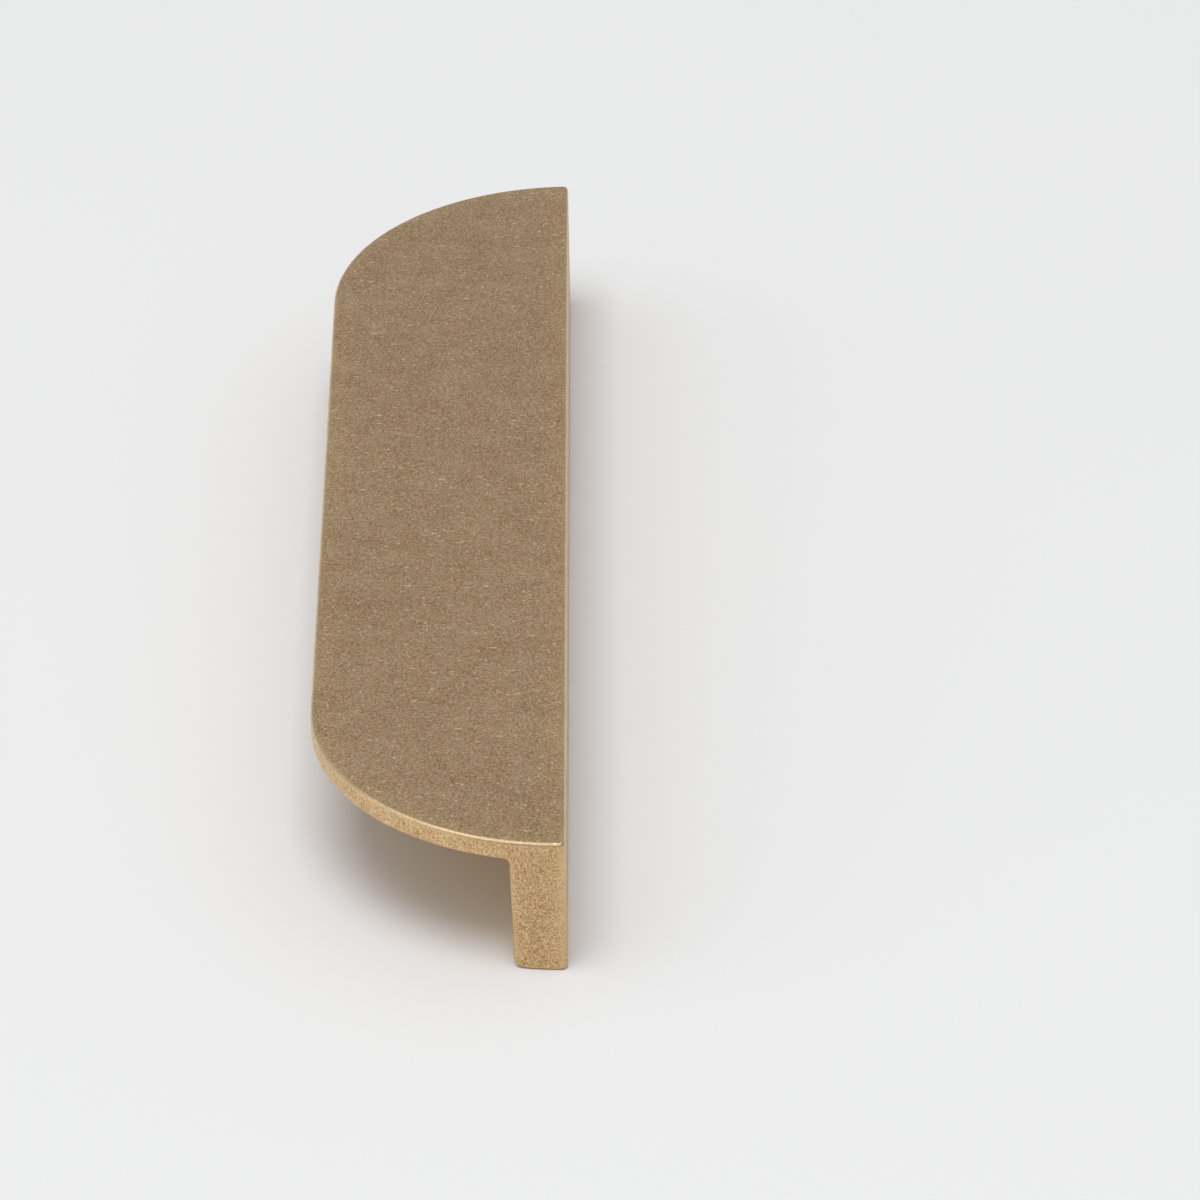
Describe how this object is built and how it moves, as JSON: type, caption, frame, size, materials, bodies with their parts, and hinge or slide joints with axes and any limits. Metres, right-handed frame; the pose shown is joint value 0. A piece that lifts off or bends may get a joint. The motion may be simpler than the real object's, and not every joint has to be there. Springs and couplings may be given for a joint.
{
  "type": "cabinet pull",
  "caption": "Half-oval solid brass cabinet pull: a thin flat grip plate with rounded ends on one full-length leg, screwed on from behind through the door.",
  "frame": {"origin": "on the foot, midway between the two screw holes", "axes": "+Y along the pull, +Z away from the cabinet face, -X from the leg towards the curved side of the grip plate"},
  "size_m": [0.038, 0.2, 0.022],
  "materials": {
    "tumbled_brass": "tumbled, satin, lightly patinated, with fine dents and brighter worn edges"
  },
  "bodies": {
    "root": {"pull": "tumbled_brass"}
  },
  "joints": []
}
